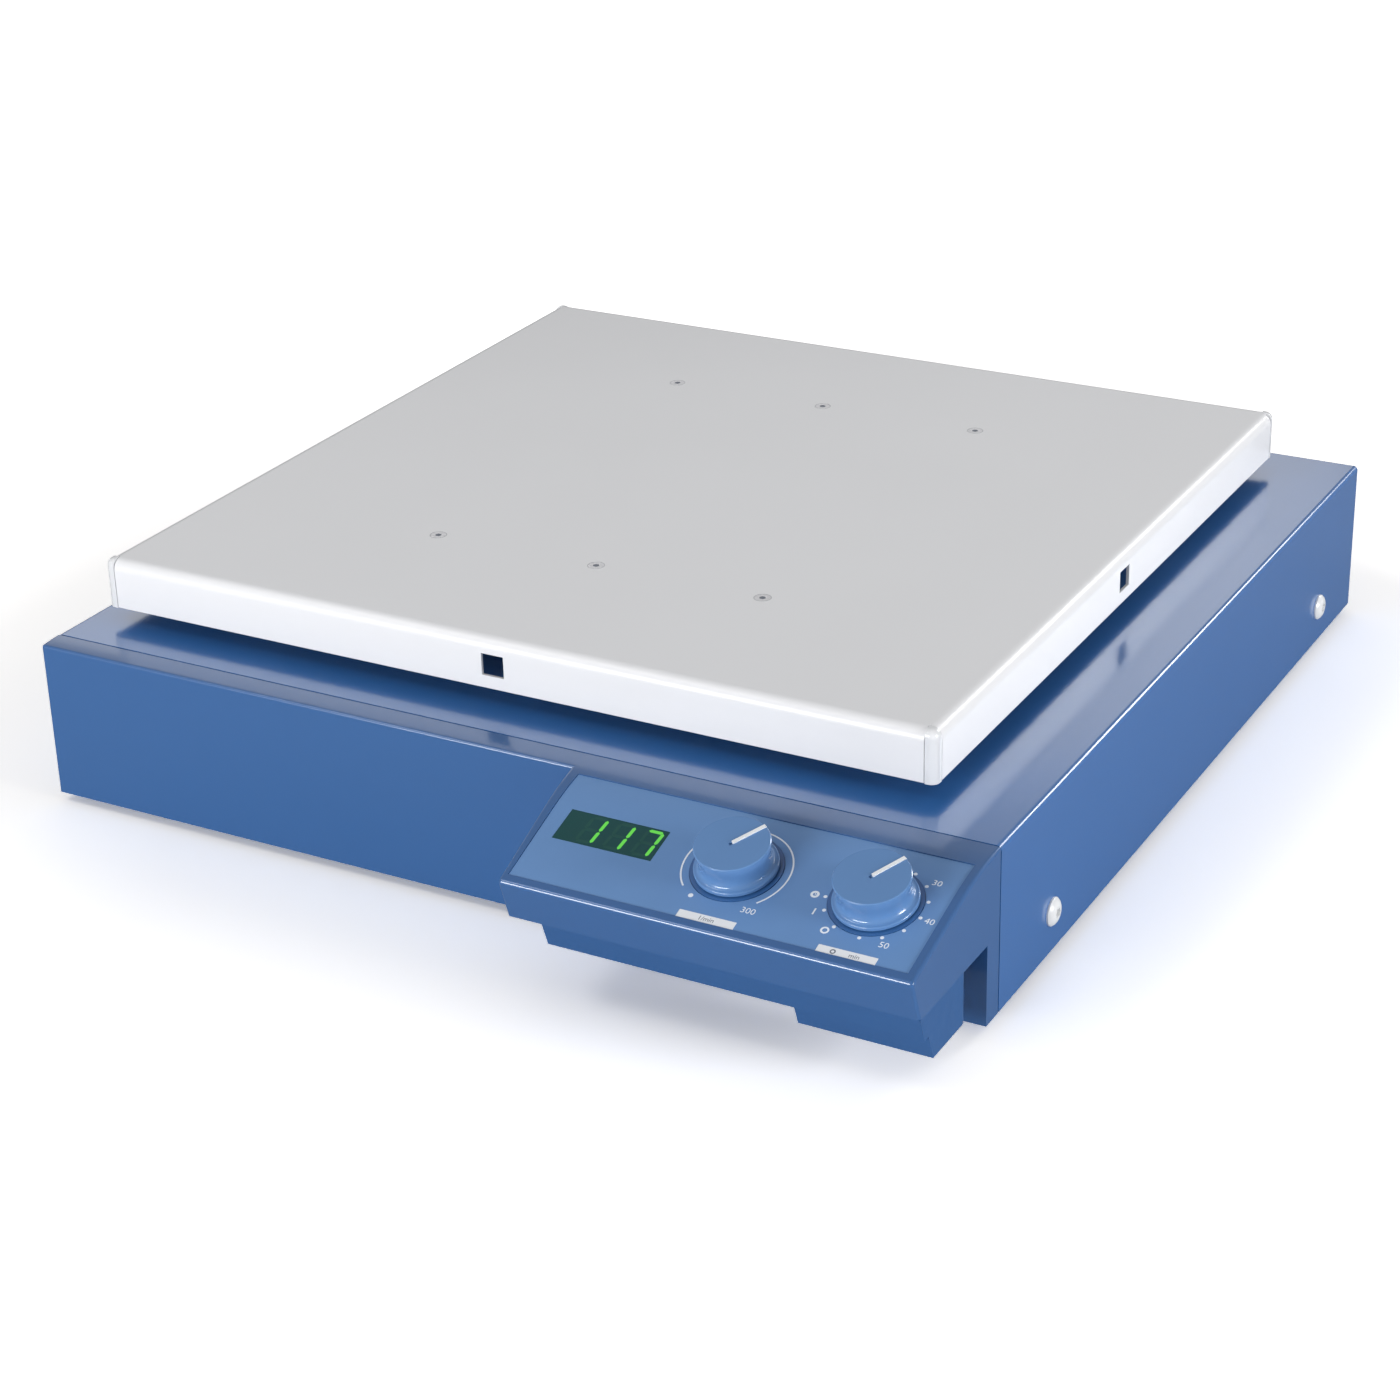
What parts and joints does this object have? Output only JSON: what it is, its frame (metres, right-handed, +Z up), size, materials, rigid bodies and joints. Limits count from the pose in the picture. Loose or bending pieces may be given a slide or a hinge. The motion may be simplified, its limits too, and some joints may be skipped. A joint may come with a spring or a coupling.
{
  "type": "orbital shaker",
  "caption": "Low orbital shaker: painted square body with a sloped corner console, display and two dials, and a flat folded tray on an eccentric drive.",
  "frame": {"origin": "on the bench, below the middle of the whole shaker's bounding box", "axes": "+Z up, -Y to the front, where the console is, +X to the right"},
  "size_m": [0.511, 0.579, 0.12],
  "materials": {
    "base_pan": "satin",
    "feet": "matte",
    "foot_screws": "brushed",
    "cover": "satin",
    "cover_screws": "brushed",
    "front_panel": "satin",
    "console_base": "matte",
    "console_screws": "brushed",
    "panel_overlay": "gloss",
    "display_window": "gloss",
    "display_module": "matte",
    "display_board": "matte",
    "speed_potentiometer": "matte",
    "timer_unit": "matte",
    "mains_inlet": "matte",
    "inlet_pins": "polished",
    "inlet_screws": "brushed",
    "power_board": "matte",
    "board_standoffs": "brushed",
    "board_capacitors": "gloss",
    "board_heatsink": "machined",
    "transformer_core": "rough",
    "transformer_coil": "gloss",
    "motor_bracket": "brushed",
    "motor_housing": "satin",
    "motor_screws": "brushed",
    "drive_belt": "matte",
    "main_housing": "machined",
    "main_bearings": "brushed",
    "main_housing_bolts": "brushed",
    "crank_housings": "machined",
    "crank_housing_bolts": "brushed",
    "crank_bearings": "brushed",
    "main_shaft": "brushed",
    "driven_pulley": "machined",
    "counterweight": "rough",
    "counterweight_screws": "brushed",
    "motor_shaft": "brushed",
    "motor_pulley": "machined",
    "front_left_crank": "brushed",
    "front_right_crank": "brushed",
    "rear_left_crank": "brushed",
    "rear_right_crank": "brushed",
    "table_frame": "machined",
    "hub_bearing": "brushed",
    "table_bearings": "brushed",
    "tray": "satin",
    "tray_corners": "satin",
    "tray_screws": "brushed",
    "speed_knob": "gloss",
    "speed_pointer": "matte",
    "speed_shaft": "brushed",
    "timer_knob": "gloss",
    "timer_pointer": "matte",
    "timer_shaft": "brushed"
  },
  "bodies": {
    "base": {"base_pan": "base_pan", "feet": "feet", "foot_screws": "foot_screws", "cover": "cover", "cover_screws": "cover_screws", "front_panel": "front_panel", "console_base": "console_base", "console_screws": "console_screws", "panel_overlay": "panel_overlay", "display_window": "display_window", "display_module": "display_module", "display_board": "display_board", "speed_potentiometer": "speed_potentiometer", "timer_unit": "timer_unit", "mains_inlet": "mains_inlet", "inlet_pins": "inlet_pins", "inlet_screws": "inlet_screws", "power_board": "power_board", "board_standoffs": "board_standoffs", "board_capacitors": "board_capacitors", "board_heatsink": "board_heatsink", "transformer_core": "transformer_core", "transformer_coil": "transformer_coil", "motor_bracket": "motor_bracket", "motor_housing": "motor_housing", "motor_screws": "motor_screws", "drive_belt": "drive_belt", "main_housing": "main_housing", "main_bearings": "main_bearings", "main_housing_bolts": "main_housing_bolts", "crank_housings": "crank_housings", "crank_housing_bolts": "crank_housing_bolts", "crank_bearings": "crank_bearings"},
    "main_crank": {"main_shaft": "main_shaft", "driven_pulley": "driven_pulley", "counterweight": "counterweight", "counterweight_screws": "counterweight_screws"},
    "front_left_crank": {"front_left_crank": "front_left_crank"},
    "front_right_crank": {"front_right_crank": "front_right_crank"},
    "rear_left_crank": {"rear_left_crank": "rear_left_crank"},
    "rear_right_crank": {"rear_right_crank": "rear_right_crank"},
    "motor_rotor": {"motor_shaft": "motor_shaft", "motor_pulley": "motor_pulley"},
    "table": {"table_frame": "table_frame", "hub_bearing": "hub_bearing", "table_bearings": "table_bearings", "tray": "tray", "tray_corners": "tray_corners", "tray_screws": "tray_screws"},
    "speed_dial": {"speed_knob": "speed_knob", "speed_pointer": "speed_pointer", "speed_shaft": "speed_shaft"},
    "timer_dial": {"timer_knob": "timer_knob", "timer_pointer": "timer_pointer", "timer_shaft": "timer_shaft"}
  },
  "joints": [
    {"name": "main_spin", "type": "hinge", "parent": "base", "child": "main_crank", "pos_m": [0, 0.03535, 0.06], "axis": [0, 0, 1], "continuous": true},
    {"name": "table_orbit", "type": "hinge", "parent": "main_crank", "child": "table", "pos_m": [-0.0137, 0.04145, 0.0985], "axis": [0, 0, 1], "continuous": true},
    {"name": "front_left_crank_spin", "type": "hinge", "parent": "base", "child": "front_left_crank", "pos_m": [-0.15, -0.08765, 0.06], "axis": [0, 0, 1], "continuous": true},
    {"name": "front_right_crank_spin", "type": "hinge", "parent": "base", "child": "front_right_crank", "pos_m": [0.15, -0.08765, 0.06], "axis": [0, 0, 1], "continuous": true},
    {"name": "rear_left_crank_spin", "type": "hinge", "parent": "base", "child": "rear_left_crank", "pos_m": [-0.15, 0.15835, 0.06], "axis": [0, 0, 1], "continuous": true},
    {"name": "rear_right_crank_spin", "type": "hinge", "parent": "base", "child": "rear_right_crank", "pos_m": [0.15, 0.15835, 0.06], "axis": [0, 0, 1], "continuous": true},
    {"name": "motor_spin", "type": "hinge", "parent": "base", "child": "motor_rotor", "pos_m": [0, 0.18335, 0.05], "axis": [0, 0, 1], "continuous": true},
    {"name": "speed_turn", "type": "hinge", "parent": "base", "child": "speed_dial", "pos_m": [0.153, -0.2518, 0.07732], "axis": [0, -0.2815, 0.9596], "range_deg": [-108, 184.8]},
    {"name": "timer_turn", "type": "hinge", "parent": "base", "child": "timer_dial", "pos_m": [0.2182, -0.2518, 0.07732], "axis": [0, -0.2815, 0.9596], "range_deg": [-141.4, 183.2]}
  ],
  "couplings": [
    {"joint": "table_orbit", "follows": "main_spin", "ratio": -1},
    {"joint": "front_left_crank_spin", "follows": "main_spin", "ratio": 1},
    {"joint": "front_right_crank_spin", "follows": "main_spin", "ratio": 1},
    {"joint": "rear_left_crank_spin", "follows": "main_spin", "ratio": 1},
    {"joint": "rear_right_crank_spin", "follows": "main_spin", "ratio": 1},
    {"joint": "motor_spin", "follows": "main_spin", "ratio": 5}
  ]
}
